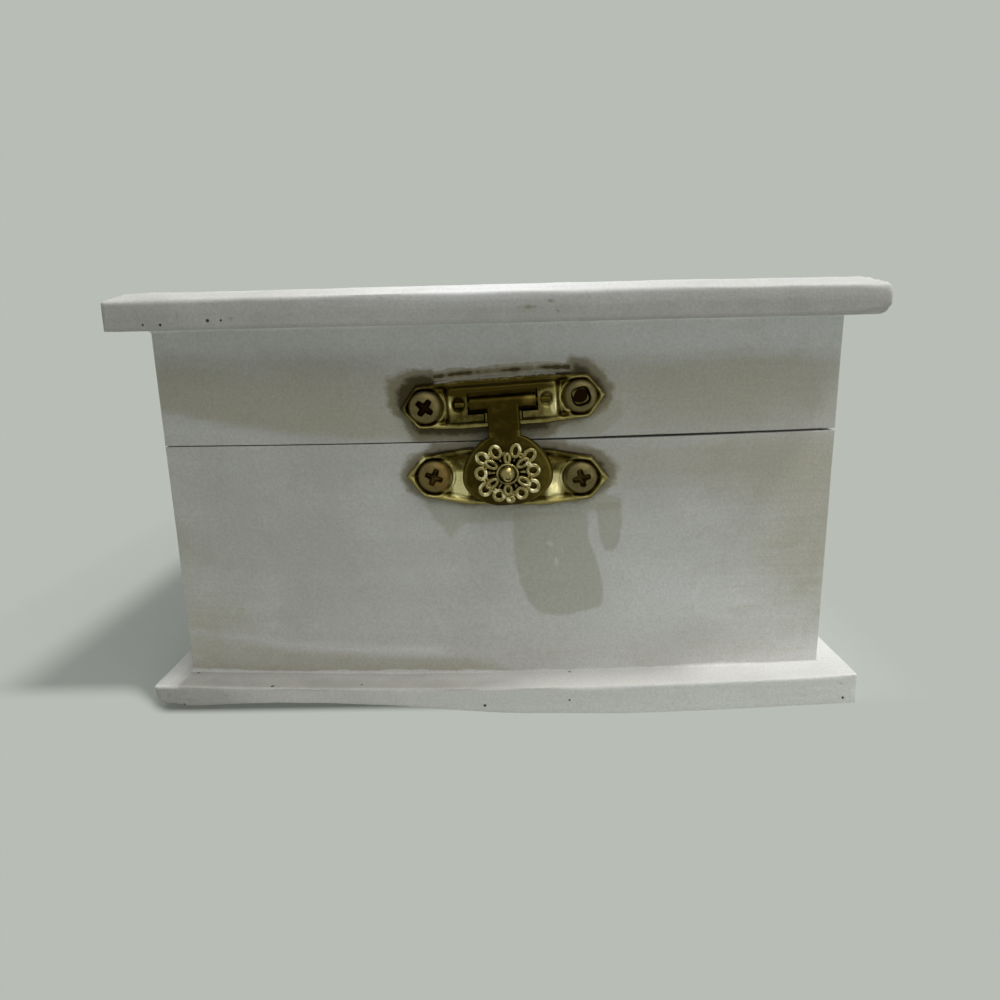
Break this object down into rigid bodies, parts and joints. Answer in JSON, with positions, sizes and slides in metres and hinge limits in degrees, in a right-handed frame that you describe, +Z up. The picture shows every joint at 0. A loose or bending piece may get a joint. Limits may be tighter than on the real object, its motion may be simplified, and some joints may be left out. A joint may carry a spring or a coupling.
{
  "type": "hinged-lid wooden box",
  "caption": "Small white-painted wooden box with a flat overhanging lid and base, a slightly bowed front, rear butt hinges and a swinging brass hasp with a flower rosette.",
  "frame": {"origin": "centre of the base board's underside, on the surface the box stands on", "axes": "+X to the right seen from the front, +Y towards the hinges at the back, +Z up"},
  "size_m": [0.104, 0.0874, 0.0608],
  "materials": {
    "painted_wood": "hand-brushed chalky white paint, thin and stained in places",
    "hasp_brass": "antiqued brass plate, dark olive in the hollows, rubbed bright on the edges",
    "rosette_brass": "cast brass, bright on its high places and dark between",
    "pin_brass": "dull drawn brass",
    "screw_brass": "dull plated screw heads with dark recesses",
    "hinge_brass": "dull pressed brass"
  },
  "bodies": {
    "box": {"base_board": "painted_wood", "front_wall": "painted_wood", "back_wall": "painted_wood", "left_wall": "painted_wood", "right_wall": "painted_wood", "catch_plate": "hasp_brass", "catch_screws": "screw_brass", "hinge_left_lower_leaf": "hinge_brass", "hinge_right_lower_leaf": "hinge_brass", "hinge_left_pin": "pin_brass", "hinge_right_pin": "pin_brass", "hinge_lower_screws": "screw_brass"},
    "lid": {"lid_board": "painted_wood", "lid_front_wall": "painted_wood", "lid_back_wall": "painted_wood", "lid_left_wall": "painted_wood", "lid_right_wall": "painted_wood", "hasp_plate": "hasp_brass", "hasp_pin": "pin_brass", "hasp_screws": "screw_brass", "hinge_left_upper_leaf": "hinge_brass", "hinge_right_upper_leaf": "hinge_brass", "hinge_upper_screws": "screw_brass"},
    "tongue": {"hasp_tongue": "hasp_brass", "rosette": "rosette_brass", "rosette_rivet": "rosette_brass"}
  },
  "joints": [
    {"name": "lid_hinge", "type": "hinge", "parent": "box", "child": "lid", "pos_m": [0, 0.04155, 0.04005], "axis": [-1, 0, 0], "range_deg": [0, 110]},
    {"name": "hasp_swing", "type": "hinge", "parent": "lid", "child": "tongue", "pos_m": [0.0008, -0.0396, 0.04525], "axis": [-0.9986, 0, -0.0523], "range_deg": [0, 115]}
  ]
}
